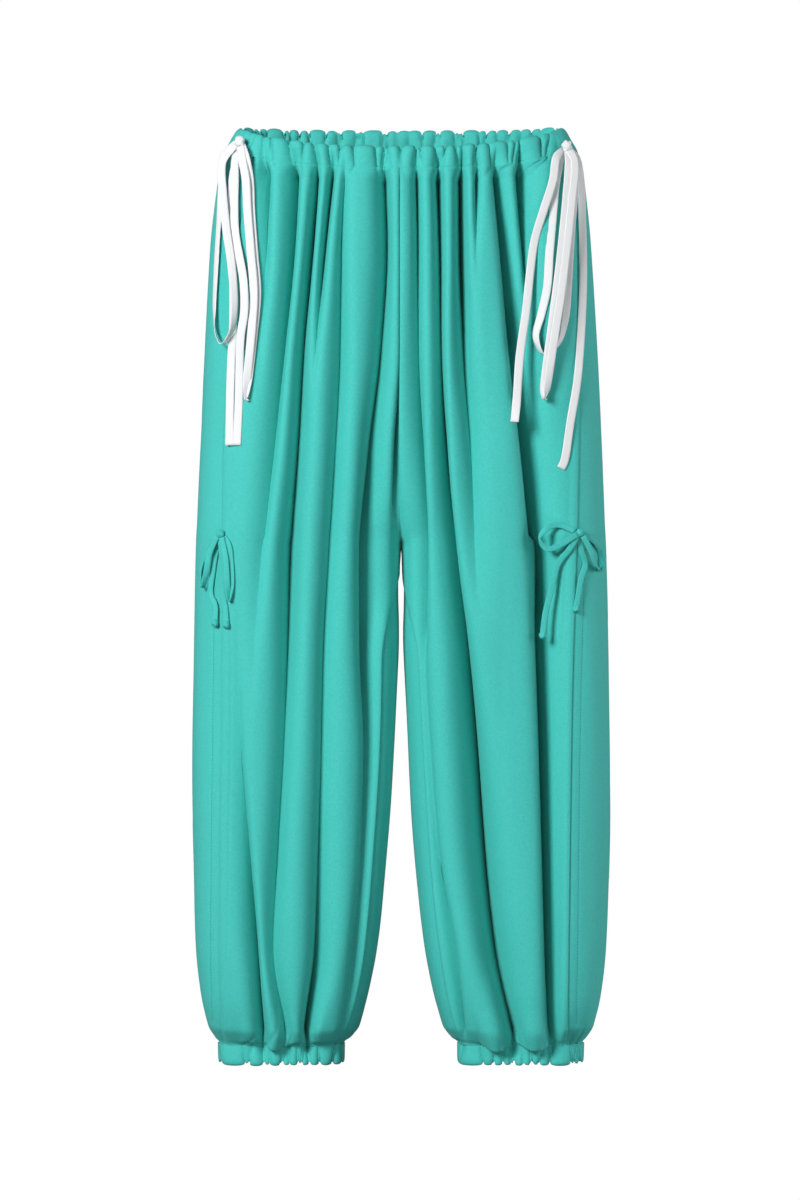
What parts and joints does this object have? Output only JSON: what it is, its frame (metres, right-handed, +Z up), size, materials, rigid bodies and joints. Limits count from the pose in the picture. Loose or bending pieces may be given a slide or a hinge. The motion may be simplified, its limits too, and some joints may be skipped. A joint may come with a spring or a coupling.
{
  "type": "jogger pants",
  "caption": "Hollow ballooned jogger pants with a gathered drawstring waist, gathered cuffs, ribbon bows at the sides and a small tie at each thigh.",
  "frame": {"origin": "middle of the waist ring, level with the top edge of its front", "axes": "+Z up the body, -Y towards the front of the garment, +X to the wearer's left, which is the right of the picture"},
  "size_m": [0.4626, 0.1879, 1.0788],
  "materials": {
    "jersey": "smooth double-knit jersey, turquoise",
    "cotton": "woven cotton ribbon, white"
  },
  "bodies": {
    "root": {"waistband_front": "jersey", "waistband_back": "jersey", "front_left_leg": "jersey", "front_right_leg": "jersey", "back_left_leg": "jersey", "back_right_leg": "jersey", "cuff_left": "jersey", "cuff_right": "jersey", "ribbon_left_knot": "cotton", "ribbon_left_loop_open": "cotton", "ribbon_left_loop_narrow": "cotton", "ribbon_left_tail_long": "cotton", "ribbon_left_tail_under": "cotton", "ribbon_right_knot": "cotton", "ribbon_right_loop_open": "cotton", "ribbon_right_loop_narrow": "cotton", "ribbon_right_tail_front": "cotton", "ribbon_right_tail_side": "cotton", "thigh_tie_left_knot": "jersey", "thigh_tie_left_loop_outer": "jersey", "thigh_tie_left_loop_inner": "jersey", "thigh_tie_left_tail_outer": "jersey", "thigh_tie_left_tail_inner": "jersey", "thigh_tie_right_knot": "jersey", "thigh_tie_right_loop_inner": "jersey", "thigh_tie_right_loop_outer": "jersey", "thigh_tie_right_tail_inner": "jersey", "thigh_tie_right_tail_outer": "jersey"}
  },
  "joints": []
}
